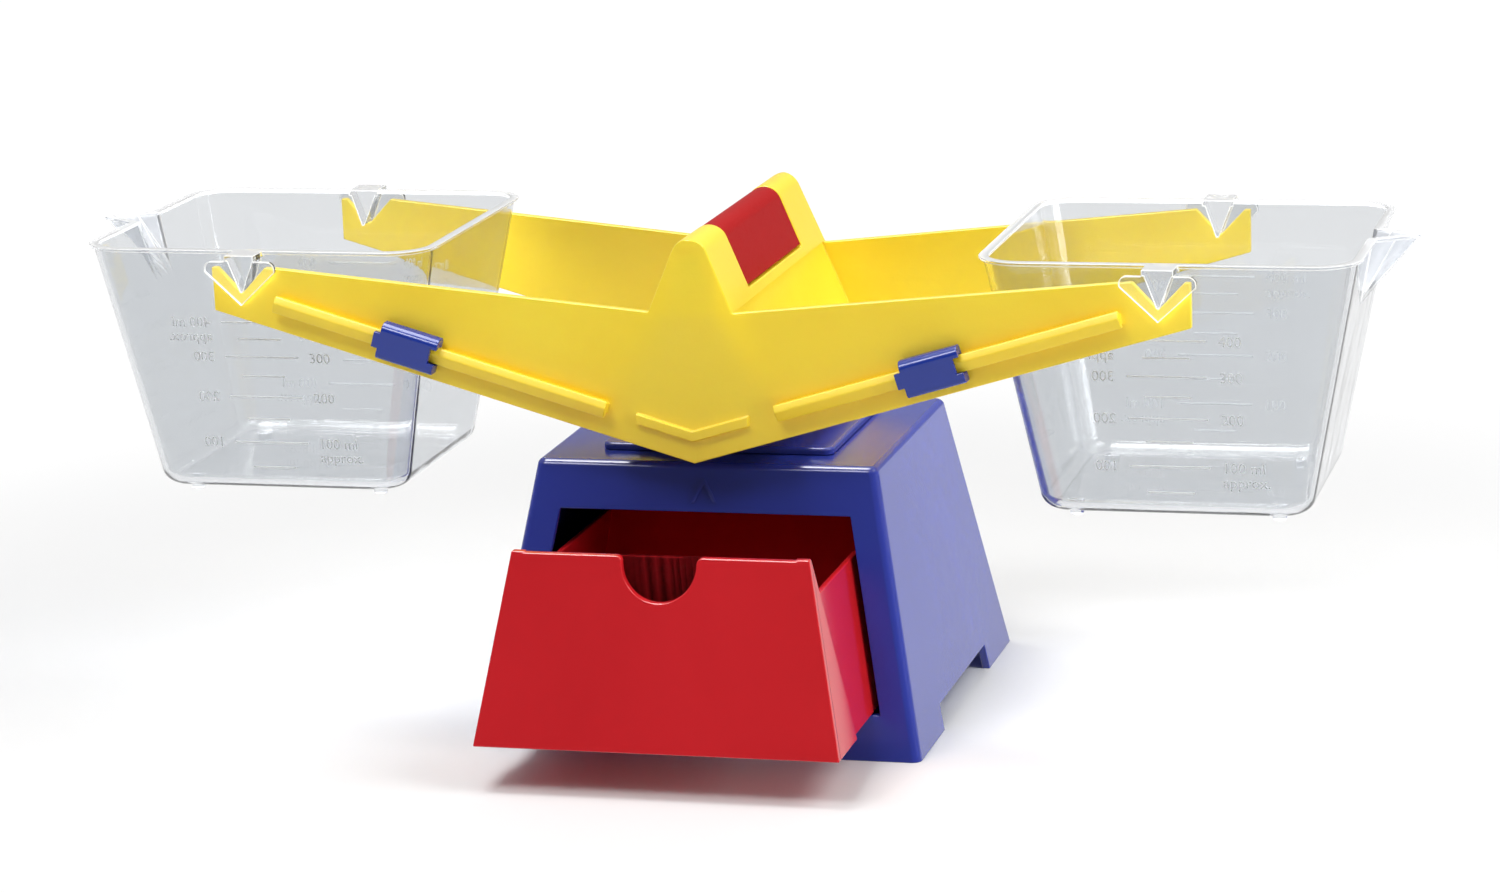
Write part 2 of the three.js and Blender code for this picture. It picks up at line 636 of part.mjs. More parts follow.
function vRib() {
  const half = RIB_HALF_LENGTH;
  const low = RIB_LIFT;
  const high = RIB_LIFT + RIB_WIDTH;
  const chevron = [
    [-half, edgeHeight(half) + low],
    [0, edgeHeight(0) + low],
    [half, edgeHeight(half) + low],
    [half, edgeHeight(half) + high],
    [0, edgeHeight(0) + high],
    [-half, edgeHeight(half) + high],
  ];
  return alongY(chevron, BEAM_FRONT - RIB_RELIEF, BEAM_FRONT + BEAM_WALL / 2);
}

function saddleTabs(gap) {
  const low = -SADDLE_LOW_EDGE + TAB_RISE;
  const reach = flankHalf(low, SADDLE_SINK + SADDLE_THICKNESS / 2);
  const tip = flankHalf(low, RECESS_DEPTH + HUMP_SKIN);
  const half = TAB_LENGTH / 2 + gap;
  return [-1, 1].map((side) => {
    const xEnds = [side * tip, side * reach].sort((a, b) => a - b);
    return block(...xEnds, -half, half, low - gap, low + TAB_HEIGHT + gap);
  });
}

function beam() {
  const walls = [-1, 1].map((side) => {
    const middle = side * (BEAM_WIDTH - BEAM_WALL) / 2;
    return alongY(wallOutline(), middle - BEAM_WALL / 2, middle + BEAM_WALL / 2);
  });
  const tent = alongY(tentOutline(), -BEAM_WIDTH / 2 + BEAM_WALL / 2, BEAM_WIDTH / 2 - BEAM_WALL / 2);
  const hollow = alongY(tentHollow(), -BEAM_INSIDE, BEAM_INSIDE);
  const recessEnd = SADDLE_LENGTH / 2 + SEAT_GAP;
  const recessLow = -SADDLE_LOW_EDGE - SADDLE_LOW_GAP;
  const reach = flankHalf(recessLow, 0) + OVERCUT;
  const around = block(-reach, reach, -recessEnd, recessEnd, recessLow, HUMP_RISE + OVERCUT);
  const core = alongY(humpOutline(RECESS_DEPTH, recessLow - OVERCUT), -recessEnd * 2, recessEnd * 2);
  const rails = [-1, 1].map((side) => alongArm(railSection(), side, RAIL_START, RAIL_END));
  const body = cut(join(...walls, tent), hollow, cut(around, core), ...saddleTabs(SEAT_GAP));
  return join(body, ...rails, vRib());
}

// Saddle cap
function fulcrumSaddle() {
  const half = SADDLE_LENGTH / 2;
  const outer = alongY(humpOutline(SADDLE_SINK, -SADDLE_LOW_EDGE), -half, half);
  const inside = humpOutline(SADDLE_SINK + SADDLE_THICKNESS, -SADDLE_LOW_EDGE - OVERCUT);
  const shell = cut(outer, alongY(inside, -half - OVERCUT, half + OVERCUT));
  return join(shell, ...saddleTabs(0));
}

// Compensator, drawn at the middle of its own length
function compensator(side, at) {
  const high = CLIP_HALF_HEIGHT;
  const plateIn = RAIL_DEPTH + SLIDE_GAP;
  const plateOut = plateIn + CLIP_PLATE;
  const lip = RAIL_HEAD_WIDTH / 2 + SLIDE_GAP;
  const hookTip = RAIL_STEM_WIDTH / 2 + SLIDE_GAP;
  const hookOut = RAIL_STEM_HEIGHT - SLIDE_GAP;
  const hookIn = CLIP_WALL_GAP;
  const section = new THREE.Shape();
  section.moveTo(plateIn, -lip);
  section.lineTo(hookOut, -lip);
  section.lineTo(hookOut, -hookTip);
  section.lineTo(hookIn, -hookTip);
  section.lineTo(hookIn, -high);
  section.lineTo(plateOut - CLIP_ROUND, -high);
  section.absarc(plateOut - CLIP_ROUND, -high + CLIP_ROUND, CLIP_ROUND, -Math.PI / 2, 0, false);
  section.absarc(plateOut - CLIP_TOP_ROUND, high - CLIP_TOP_ROUND, CLIP_TOP_ROUND, 0, Math.PI / 2, false);
  section.absarc(hookIn + CLIP_ROUND, high - CLIP_ROUND, CLIP_ROUND, Math.PI / 2, Math.PI, false);
  section.lineTo(hookIn, hookTip);
  section.lineTo(hookOut, hookTip);
  section.lineTo(hookOut, lip);
  section.lineTo(plateIn, lip);
  const inner = at - CLIP_LENGTH / 2;
  const outer = at + CLIP_LENGTH / 2;
  const strip = (near, far) => [
    [near, -CLIP_TAB_WIDTH / 2],
    [far, -CLIP_TAB_WIDTH / 2],
    [far, CLIP_TAB_WIDTH / 2],
    [near, CLIP_TAB_WIDTH / 2],
  ];
  const tab = strip(plateIn, plateOut);
  const notch = strip(plateIn - SLIDE_GAP / 2, plateOut + OVERCUT);
  const [tabEnd, notchEnd] = side > 0 ? [inner, outer] : [outer, inner];
  return cut(
    join(
      alongArm(section, side, inner, outer),
      alongArm(tab, side, tabEnd - CLIP_TAB, tabEnd + CLIP_TAB),
    ),
    alongArm(notch, side, notchEnd - CLIP_TAB, notchEnd + CLIP_TAB),
  );
}

// Bucket, with its hanging edge at the origin and its spout towards +X
const bucketShare = (z) => (z - BUCKET_BOTTOM) / BUCKET_HEIGHT;
const bucketHalfX = (z) => lerp(BUCKET_BOTTOM_LENGTH, BUCKET_RIM_LENGTH, bucketShare(z)) / 2;
const bucketHalfY = (z) => lerp(BUCKET_BOTTOM_DEPTH, BUCKET_RIM_DEPTH, bucketShare(z)) / 2;
const bucketCorner = (z) => lerp(BUCKET_BOTTOM_CORNER, BUCKET_RIM_CORNER, bucketShare(z));

// One level of the bucket, drawn in by an inset, with its +X side drawn out to a spout
function bucketRing(z, inset, spoutReach, spoutHalf) {
  const halfX = bucketHalfX(z) - inset;
  const ring = roundedRing(halfX, bucketHalfY(z) - inset, Math.max(bucketCorner(z) - inset, 1), z);
  const spout = [-1, -0.5, 0, 0.5, 1].map((share) => {
    const x = halfX + spoutReach * (1 - Math.abs(share));
    return new THREE.Vector3(x, share * spoutHalf, z);
  });
  return [...ring, ...spout];
}

function filletRings(bottom, radius, inset, spoutHalf) {
  return Array.from({ length: ARC_STEPS + 1 }, (_, step) => {
    const angle = (step / ARC_STEPS) * (Math.PI / 2);
    const z = bottom + radius * (1 - Math.cos(angle));
    return bucketRing(z, inset + radius * (1 - Math.sin(angle)), 0, spoutHalf);
  });
}

function bucketOutside() {
  const half = SPOUT_WIDTH / 2;
  const rim = BUCKET_RIM_RISE;
  const beadLow = rim - RIM_BEAD_HEIGHT;
  const reachAtBead = SPOUT_REACH * (1 - RIM_BEAD_HEIGHT / SPOUT_HEIGHT);
  return loft([
    ...filletRings(BUCKET_BOTTOM, BUCKET_FILLET, 0, half),
    bucketRing(rim - SPOUT_HEIGHT, 0, 0, half),
    bucketRing(beadLow, 0, reachAtBead, half),
    bucketRing(beadLow, -RIM_BEAD, reachAtBead, half),
    bucketRing(rim, -RIM_BEAD, SPOUT_REACH - RIM_BEAD, half),
  ]);
}

function bucketInside() {
  const half = SPOUT_WIDTH / 2 - BUCKET_WALL / 2;
  const rim = BUCKET_RIM_RISE;
  const root = rim - SPOUT_HEIGHT + SPOUT_ROOT_STEP;
  const reachAtRim = SPOUT_REACH - BUCKET_WALL;
  const fillet = BUCKET_FILLET - BUCKET_WALL / 2;
  const above = rim + RIM_BEAD;
  return loft([
    ...filletRings(BUCKET_BOTTOM + BUCKET_WALL, fillet, BUCKET_WALL, half),
    bucketRing(root, BUCKET_WALL, 0, half),
    bucketRing(rim, BUCKET_WALL, reachAtRim, half),
    bucketRing(above, BUCKET_WALL, (reachAtRim * (above - root)) / (rim - root), half),
  ]);
}

function shieldShape() {
  const half = SHIELD_WIDTH / 2;
  const top = BUCKET_RIM_RISE - LUG_BRIDGE_HEIGHT;
  const corner = top - SHIELD_CORNER;
  const shape = new THREE.Shape();
  shape.moveTo(0, top - SHIELD_HEIGHT);
  shape.lineTo(half, top - SHIELD_SIDE);
  shape.lineTo(half, corner);
  shape.absarc(half - SHIELD_CORNER, corner, SHIELD_CORNER, 0, Math.PI / 2, false);
  shape.absarc(-half + SHIELD_CORNER, corner, SHIELD_CORNER, Math.PI / 2, Math.PI, false);
  shape.lineTo(-half, top - SHIELD_SIDE);
  return shape;
}

// A knife lug on one side: a wedge in the notch, a bridge over it and a shield outside the beam's wall
function lug(side) {
  const top = BUCKET_RIM_RISE - LUG_BRIDGE_HEIGHT;
  const wedge = [
    [-LUG_EDGE_WIDTH / 2, LUG_EDGE_RISE],
    [LUG_EDGE_WIDTH / 2, LUG_EDGE_RISE],
    [LUG_TOP_WIDTH / 2, top + LUG_BRIDGE_HEIGHT / 2],
    [-LUG_TOP_WIDTH / 2, top + LUG_BRIDGE_HEIGHT / 2],
  ];
  const near = bucketHalfY(0) - BUCKET_WALL;
  const span = (from, to) => [side * from, side * to].sort((a, b) => a - b);
  const bridgeHalf = LUG_BRIDGE_WIDTH / 2;
  return join(
    alongY(wedge, ...span(near, SHIELD_OUTSIDE)),
    block(-bridgeHalf, bridgeHalf, ...span(near, SHIELD_OUTSIDE), top, BUCKET_RIM_RISE),
    alongY(shieldShape(), ...span(SHIELD_INSIDE, SHIELD_OUTSIDE)),
  );
}

function bucket() {
  const feet = [-1, 1].flatMap((sideX) =>
    [-1, 1].map((sideY) => {
      const x = sideX * (BUCKET_BOTTOM_LENGTH / 2 - FOOT_INSET);
      const y = sideY * (BUCKET_BOTTOM_DEPTH / 2 - FOOT_INSET);
      const low = BUCKET_BOTTOM - FOOT_HEIGHT;
      return rod(FOOT_RADIUS * 0.8, FOOT_RADIUS, x, y, low, BUCKET_BOTTOM + BUCKET_WALL / 2);
    }),
  );
  return cut(join(bucketOutside(), lug(-1), lug(1), ...feet), bucketInside());
}

// Finishes
const finish = (color, roughness, metalness = 0) => new THREE.MeshStandardMaterial({ color, roughness, metalness });
const blue = () => finish(0x2d3c96, 0.22);
const red = () => finish(0xc2262c, 0.35);
const yellow = () => finish(0xf3cf3c, 0.35);
const steel = () => finish(0xb9bdc2, 0.4, 1);

function clear() {
  const material = finish(0xe9eff1, 0.08);
  material.transparent = true;
  material.opacity = 0.35;
  return material;
}

function piece(name, solid, material) {
  const mesh = new THREE.Mesh(toGeometry(solid), material);
  mesh.name = name;
  return mesh;
}

function placed(mesh, x, y, z) {
  mesh.position.set(x, y, z);
  return mesh;
}

const balance = new THREE.Group();

balance.add(piece('base_shell', baseShell(), blue()));
balance.add(piece('base_floor', baseFloor(), blue()));
balance.add(piece('fulcrum_stand', fulcrumStand(), blue()));

const floorScrewLength = FLOOR_THICKNESS + SEAT_GAP * 2 + SCREW_BITE;
for (const [corner, [x, y]] of Object.entries(CORNERS)) {
  const mesh = piece(`floor_screw_${corner}`, screw(floorScrewLength), steel());
  balance.add(placed(mesh, x, y, FLOOR_BOTTOM - SEAT_GAP));
}

const standScrewLength = BASE_WALL + SEAT_GAP * 2 + SCREW_BITE;
for (const [end, [x, y]] of Object.entries(STAND_SCREWS)) {
  const mesh = piece(`stand_screw_${end}`, screw(standScrewLength), steel());
  balance.add(placed(mesh, x, y, BASE_HEIGHT - BASE_WALL - SEAT_GAP));
}

const drawer = new THREE.Group();
drawer.add(piece('drawer_front', drawerFront(), red()));
drawer.add(piece('drawer_tray', drawerTray(), red()));
drawer.position.y = -DRAWER_OUT;
balance.add(drawer);

const rocker = new THREE.Group();
rocker.add(piece('beam', beam(), yellow()));
rocker.add(piece('fulcrum_saddle', fulcrumSaddle(), red()));
rocker.add(piece('compensator_left', compensator(-1, LEFT_CLIP_AT), blue()));
rocker.add(piece('compensator_right', compensator(1, RIGHT_CLIP_AT), blue()));
const bucketRight = placed(piece('bucket_right', bucket(), clear()), NOTCH_REACH, 0, -NOTCH_DROP);
const bucketLeft = placed(piece('bucket_left', bucket(), clear()), -NOTCH_REACH, 0, -NOTCH_DROP);
bucketLeft.rotation.z = Math.PI;
rocker.add(bucketRight, bucketLeft);
rocker.position.z = PIVOT_Z;
balance.add(rocker);

// The origin lies on the table, under the middle of the whole object with its drawer out
const reachFront = frontFace(PANEL_BOTTOM) - DRAWER_OUT;
balance.position.y = -(baseHalfY(0) + reachFront) / 2;

export default balance;
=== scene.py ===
# Toy bucket balance: a yellow rocker beam with clear buckets over a blue base with a red drawer.
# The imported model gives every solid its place. This script rounds the moulded edges, leans the
# walls of the beam's arms, adds the buckets' lines and numerals and the screws' recesses, and
# gives each piece its plastic.
import json
import math

import bmesh
import bpy
from mathutils import Matrix, Vector


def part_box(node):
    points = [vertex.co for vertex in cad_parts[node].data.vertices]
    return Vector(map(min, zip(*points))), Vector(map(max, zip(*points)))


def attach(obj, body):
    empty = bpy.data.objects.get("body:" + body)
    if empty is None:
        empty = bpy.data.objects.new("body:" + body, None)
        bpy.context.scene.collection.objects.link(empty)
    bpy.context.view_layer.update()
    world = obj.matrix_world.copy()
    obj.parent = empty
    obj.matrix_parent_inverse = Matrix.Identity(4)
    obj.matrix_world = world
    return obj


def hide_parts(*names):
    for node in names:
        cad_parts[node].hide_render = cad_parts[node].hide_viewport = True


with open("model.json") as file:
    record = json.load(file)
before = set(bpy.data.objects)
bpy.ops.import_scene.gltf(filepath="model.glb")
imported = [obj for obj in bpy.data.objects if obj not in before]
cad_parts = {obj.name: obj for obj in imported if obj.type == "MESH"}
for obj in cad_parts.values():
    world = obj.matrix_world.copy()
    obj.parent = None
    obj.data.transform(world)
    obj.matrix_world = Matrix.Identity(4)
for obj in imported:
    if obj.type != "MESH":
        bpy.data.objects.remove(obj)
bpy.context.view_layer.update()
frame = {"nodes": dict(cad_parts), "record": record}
nodes = frame["nodes"]
bodies = frame["record"]["behaviour"]["bodies"]
slots = {part["node"]: part["material_slot"] for part in frame["record"]["subparts"]}
body_of = {node: body for body, members in bodies.items() for node in members}
MM = 0.001

# Where the base's middle lies, and the buckets' form, in the frame's metres
base_low, base_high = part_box("base_shell")
MIDDLE_Y = (base_low.y + base_high.y) / 2
NOTCH_REACH = 142 * MM
BUCKET_BOTTOM = 71.7 * MM
BUCKET_HALF_DEPTH = 40.4 * MM
BUCKET_FLARE = 12.7 / 79
SPOUT_HALF_WIDTH = 18 * MM

# Camera at the photograph's angle
CAMERA_AZIMUTH = math.radians(15.12)
CAMERA_ELEVATION = math.radians(13.22)
CAMERA_ROLL = math.radians(-2.02)
CAMERA_AIM = Vector((1.31 * MM, MIDDLE_Y, 79.96 * MM))
CAMERA_DISTANCE = 1.40233
CAMERA_LENS = 107.0
SENSOR_WIDTH = 36
NEAREST_SEEN = 0.05
FARTHEST_SEEN = 60


def make_camera():
    back = Vector(
        (
            math.sin(CAMERA_AZIMUTH) * math.cos(CAMERA_ELEVATION),
            -math.cos(CAMERA_AZIMUTH) * math.cos(CAMERA_ELEVATION),
            math.sin(CAMERA_ELEVATION),
        )
    )
    level_right = Vector((math.cos(CAMERA_AZIMUTH), math.sin(CAMERA_AZIMUTH), 0))
    level_up = back.cross(level_right)
    right = level_right * math.cos(CAMERA_ROLL) + level_up * math.sin(CAMERA_ROLL)
    up = level_up * math.cos(CAMERA_ROLL) - level_right * math.sin(CAMERA_ROLL)
    place = CAMERA_AIM + back * CAMERA_DISTANCE
    turn = Matrix((right, up, back)).transposed().to_4x4()
    data = bpy.data.cameras.new("camera")
    data.sensor_width = SENSOR_WIDTH
    data.lens = CAMERA_LENS
    data.clip_start = NEAREST_SEEN
    data.clip_end = FARTHEST_SEEN
    camera = bpy.data.objects.new("camera", data)
    camera.matrix_world = Matrix.Translation(place) @ turn
    bpy.context.scene.collection.objects.link(camera)
    bpy.context.scene.camera = camera


make_camera()


# Helpers for node trees: an input takes a link from another node, or else a plain value
def set_inputs(node, inputs):
    for label, value in inputs.items():
        if isinstance(value, bpy.types.NodeSocket):
            node.id_data.links.new(value, node.inputs[label])
        else:
            node.inputs[label].default_value = value


def add_node(tree, kind, inputs=None, **settings):
    node = tree.nodes.new(kind)
    for key, value in settings.items():
        setattr(node, key, value)
    set_inputs(node, inputs or {})
    return node


def first_output(tree, kind, inputs=None, **settings):
    return add_node(tree, kind, inputs, **settings).outputs[0]


def math_node(tree, operation, *values):
    return first_output(tree, "ShaderNodeMath", dict(enumerate(values)), operation=operation)


def vector_node(tree, x=0.0, y=0.0, z=0.0):
    return first_output(tree, "ShaderNodeCombineXYZ", {"X": x, "Y": y, "Z": z})


# An eased change from low to high, while the value goes from start to end
def eased_step(tree, value, start, end, low=0.0, high=1.0):
    sizes = {"Value": value, "From Min": start, "From Max": end, "To Min": low, "To Max": high}
    return first_output(tree, "ShaderNodeMapRange", sizes, interpolation_type="SMOOTHSTEP")


def add_socket(tree, name, kind, into=True, default=None):
    socket = tree.interface.new_socket(name, in_out="INPUT" if into else "OUTPUT", socket_type=kind)
    if default is not None:
        socket.default_value = default


# The skin that every finish has: slow flow of colour, fine mould grain, ripples and light scuffs
RIPPLE_SCALE = 70.0
SCUFF_TURN = (0.4, 0.3, 0.5)
SCUFF_STRETCH = (40.0, 900.0, 700.0)
SCUFF_DEPTH = 0.4


def moulded_skin_group():
    tree = bpy.data.node_groups.new("moulded skin", "ShaderNodeTree")
    add_socket(tree, "Flow Scale", "NodeSocketFloat", default=14.0)
    add_socket(tree, "Grain Scale", "NodeSocketFloat", default=1400.0)
    add_socket(tree, "Grain Depth", "NodeSocketFloat", default=0.5)
    add_socket(tree, "Ripple Depth", "NodeSocketFloat", default=0.5)
    add_socket(tree, "Scuff Amount", "NodeSocketFloat", default=0.3)
    for name in ("Flow", "Scuffs", "Height"):
        add_socket(tree, name, "NodeSocketFloat", into=False)
    given = add_node(tree, "NodeGroupInput").outputs
    place = add_node(tree, "ShaderNodeTexCoord").outputs["Object"]

    def noise(**sizes):
        return add_node(tree, "ShaderNodeTexNoise", sizes).outputs["Fac"]

    flow = noise(Vector=place, Scale=given["Flow Scale"], Detail=3.0, Distortion=0.6)
    grain = noise(Vector=place, Scale=given["Grain Scale"], Detail=2.0, Roughness=0.6)
    ripple = noise(Vector=place, Scale=RIPPLE_SCALE, Detail=1.0)

    # Scuffs are thin bands of a noise that is stretched along the piece
    stretch = {"Vector": place, "Rotation": SCUFF_TURN, "Scale": SCUFF_STRETCH}
    streaks = noise(Vector=first_output(tree, "ShaderNodeMapping", stretch), Scale=1.0, Detail=2.0)
    band = {"Value": streaks, "From Min": 0.62, "From Max": 0.72}
    scuffs = first_output(tree, "ShaderNodeMapRange", band)
    scuffs = math_node(tree, "MULTIPLY", scuffs, given["Scuff Amount"])

    fine = math_node(tree, "MULTIPLY", grain, given["Grain Depth"])
    slow = math_node(tree, "MULTIPLY", ripple, given["Ripple Depth"])
    height = math_node(tree, "ADD", fine, slow)
    height = math_node(tree, "SUBTRACT", height, math_node(tree, "MULTIPLY", scuffs, SCUFF_DEPTH))
    add_node(tree, "NodeGroupOutput", {"Flow": flow, "Scuffs": scuffs, "Height": height})
    return tree


MOULDED_SKIN = moulded_skin_group()
WHITE = (1.0, 1.0, 1.0, 1.0)
BLACK = (0.0, 0.0, 0.0, 1.0)


# A screen colour as the linear values that shaders take
def linear(red, green, blue):
    def channel(value):
        value /= 255
        return value / 12.92 if value <= 0.04045 else ((value + 0.055) / 1.055) ** 2.4

    return (channel(red), channel(green), channel(blue), 1.0)


def new_material(name):
    material = bpy.data.materials.new(name)
    material.use_nodes = True
    tree = material.node_tree
    return material, tree, tree.nodes["Principled BSDF"]


# A material whose normals take the skin's dents, with the skin's outputs for its other inputs
def skinned_material(name, skin_sizes, dent_depth, dent_strength=1.0):
    material, tree, shader = new_material(name)
    skin = add_node(tree, "ShaderNodeGroup", skin_sizes, node_tree=MOULDED_SKIN).outputs
    dents = {"Height": skin["Height"], "Strength": dent_strength, "Distance": dent_depth}
    set_inputs(shader, {"Normal": first_output(tree, "ShaderNodeBump", dents)})
    return material, tree, shader, skin


def blend_tones(tree, shader, share, first, second):
    tones = {"Factor": share, "A": first, "B": second}
    tone = add_node(tree, "ShaderNodeMix", tones, data_type="RGBA")
    set_inputs(shader, {"Base Color": tone.outputs["Result"]})


# Roughness that grows where the skin is scuffed
def scuffed(tree, skin, roughness, dulling):
    return math_node(tree, "MULTIPLY_ADD", skin["Scuffs"], dulling, roughness)


# An opaque moulded plastic: two near tones that flow into each other
def moulded_plastic(
    name, deep, bright, roughness, grain, ripple, scuffs, shine=0.5, scatter=0.0, spread=None
):
    skin_sizes = {"Grain Depth": grain, "Ripple Depth": ripple, "Scuff Amount": scuffs}
    material, tree, shader, skin = skinned_material(name, skin_sizes, dent_depth=0.12 * MM)
    share = {"Value": skin["Flow"], "From Min": 0.3, "From Max": 0.7}
    blend_tones(tree, shader, first_output(tree, "ShaderNodeMapRange", share), deep, bright)
    set_inputs(shader, {"Roughness": scuffed(tree, skin, roughness, dulling=0.25)})
    set_inputs(shader, {"IOR": 1.52, "Specular IOR Level": shine})
    if scatter:
        inside = {"Subsurface Weight": scatter, "Subsurface Radius": spread, "Subsurface Scale": 1.0}
        set_inputs(shader, inside)
    return material


# Clear polystyrene with a faint waviness from the mould, which lets the lamps shine through
LAMP_LIGHT_PASSED = (0.91, 0.915, 0.925, 1.0)


def clear_plastic(name, tint, clearness, roughness):
    skin_sizes = {"Grain Depth": 0.0, "Ripple Depth": 0.6, "Scuff Amount": 0.12}
    material, tree, shader, skin = skinned_material(name, skin_sizes, dent_depth=0.1 * MM)
    set_inputs(shader, {"Roughness": scuffed(tree, skin, roughness, dulling=0.3)})
    set_inputs(shader, {"Base Color": tint, "IOR": 1.5, "Transmission Weight": clearness})
    in_shadow = add_node(tree, "ShaderNodeLightPath").outputs["Is Shadow Ray"]
    passed = first_output(tree, "ShaderNodeBsdfTransparent", {"Color": LAMP_LIGHT_PASSED})
    by_ray = {0: in_shadow, 1: shader.outputs["BSDF"], 2: passed}
    both = first_output(tree, "ShaderNodeMixShader", by_ray)
    set_inputs(tree.nodes["Material Output"], {"Surface": both})
    return material


# The raised marks on the clear walls, frosted so that they read white
def frosted_mark(name):
    skin_sizes = {"Grain Scale": 6000.0, "Grain Depth": 1.0, "Ripple Depth": 0.0, "Scuff Amount": 0.3}
    material, tree, shader, skin = skinned_material(
        name, skin_sizes, dent_depth=0.05 * MM, dent_strength=0.6
    )
    blend_tones(tree, shader, skin["Flow"], (0.80, 0.82, 0.84, 1.0), (0.93, 0.94, 0.95, 1.0))
    set_inputs(shader, {"Roughness": 0.45, "Transmission Weight": 0.6})
    return material


# Zinc-plated steel with a turned sheen
def plated_steel(name):
    skin_sizes = {
        "Flow Scale": 400.0,
        "Grain Scale": 5000.0,
        "Grain Depth": 0.6,
        "Ripple Depth": 0.2,
        "Scuff Amount": 0.6,
    }
    material, tree, shader, skin = skinned_material(
        name, skin_sizes, dent_depth=0.05 * MM, dent_strength=0.4
    )
    blend_tones(tree, shader, skin["Flow"], (0.50, 0.52, 0.55, 1.0), (0.68, 0.69, 0.70, 1.0))
    set_inputs(shader, {"Roughness": scuffed(tree, skin, roughness=0.3, dulling=0.2)})
    set_inputs(shader, {"Metallic": 1.0})
    return material


# How far red, green and blue light spread inside the red and the yellow plastic
RED_SPREAD = (3 * MM, 0.6 * MM, 0.4 * MM)
YELLOW_SPREAD = (6 * MM, 4 * MM, 1.2 * MM)

BLUE_PLASTIC = moulded_plastic(
    "blue plastic",
    linear(40, 51, 140),
    linear(43, 56, 150),
    roughness=0.2,
    grain=0.08,
    ripple=0.1,
    scuffs=0.03,
)
CLIP_BLUE_PLASTIC = moulded_plastic(
    "clip blue plastic",
    linear(20, 46, 140),
    linear(24, 52, 150),
    roughness=0.16,
    grain=0.12,
    ripple=0.3,
    scuffs=0.15,
)
RED_PLASTIC = moulded_plastic(
    "red plastic",
    linear(190, 26, 34),
    linear(198, 30, 38),
    roughness=0.15,
    grain=0.12,
    ripple=0.3,
    scuffs=0.15,
    scatter=0.05,
    spread=RED_SPREAD,
)
SADDLE_RED_PLASTIC = moulded_plastic(
    "saddle red plastic",
    linear(158, 18, 20),
    linear(166, 22, 24),
    roughness=0.5,
    grain=0.6,
    ripple=0.3,
    scuffs=0.3,
    shine=0.06,
    scatter=0.05,
    spread=RED_SPREAD,
)
YELLOW_PLASTIC = moulded_plastic(
    "yellow plastic",
    linear(244, 209, 42),
    linear(249, 220, 54),
    roughness=0.34,
    grain=0.35,
    ripple=0.4,
    scuffs=0.2,
    scatter=0.15,
    spread=YELLOW_SPREAD,
)
CLEAR_PLASTIC = clear_plastic(
    "clear plastic", tint=(0.75, 0.767, 0.785, 1.0), clearness=0.98, roughness=0.02
)
# Whiter, less clear plastic on the buckets' rims and rounded edges, which paints the highlights they
# catch
PAINTED_RIM_HIGHLIGHT = clear_plastic(
    "clear plastic painted rim highlight", tint=(0.97, 0.975, 0.98, 1.0), clearness=0.35, roughness=0.12
)
# Milky plastic on the folded panels of the buckets' spouts, which paints a pale highlight where the
# clear fold would look dark
PAINTED_SPOUT_HIGHLIGHT = clear_plastic(
    "clear plastic painted spout highlight", tint=(0.71, 0.73, 0.765, 1.0), clearness=0.55, roughness=0.06
)
FROSTED_MARK = frosted_mark("frosted mark")
PLATED_STEEL = plated_steel("plated steel")

# Each moulded piece has one finish, and the buckets have two more on their edges and spouts, which
# paint highlights there
FINISHES = {
    "base_blue": [BLUE_PLASTIC],
    "clip_blue": [CLIP_BLUE_PLASTIC],
    "drawer_red": [RED_PLASTIC],
    "saddle_red": [SADDLE_RED_PLASTIC],
    "beam_yellow": [YELLOW_PLASTIC],
    "bucket_clear": [CLEAR_PLASTIC, PAINTED_RIM_HIGHLIGHT, PAINTED_SPOUT_HIGHLIGHT],
}
# Slots of the finishes that paint highlights on the buckets' rims, rounded edges and spout folds
RIM_HIGHLIGHT_FINISH = 1
SPOUT_HIGHLIGHT_FINISH = 2

# Radius of each moulded piece's rounded edges
EDGE_RADII = {
    "base_shell": 0.35 * MM,
    "base_floor": 0.3 * MM,
    "fulcrum_stand": 0.5 * MM,
    "drawer_front": 0.4 * MM,
    "drawer_tray": 0.5 * MM,
    "beam": 0.35 * MM,
    "fulcrum_saddle": 0.45 * MM,
    "compensator_left": 0.2 * MM,
    "compensator_right": 0.2 * MM,
    "bucket_left": 0.3 * MM,
    "bucket_right": 0.3 * MM,
}
EDGE_STEPS = 3

# An edge is rounded where it is sharp, and where its faces reach this many radii away from it
SHARP_EDGE = math.radians(32)
EDGE_ROOM = 3.2

# Vertices this near become one, edges this short go, and faces this level with each other are one
WELD_REACH = 2e-6
SHORTEST_EDGE = 2e-5
LEVEL_ANGLE = math.radians(0.3)

# Shading stays smooth across corners up to this angle
SMOOTH_ANGLE = math.radians(38)


def new_piece(name, mesh):
    piece = bpy.data.objects.new(name, mesh)
    bpy.context.scene.collection.objects.link(piece)
    return piece


# How far the narrower of an edge's two faces reaches away from it
def edge_room(edge):
    start = edge.verts[0].co
    along = (edge.verts[1].co - start).normalized()

    def reach(vertex):
        offset = vertex.co - start
        return (offset - along * offset.dot(along)).length

    return min(max(reach(vertex) for vertex in face.verts) for face in edge.link_faces)


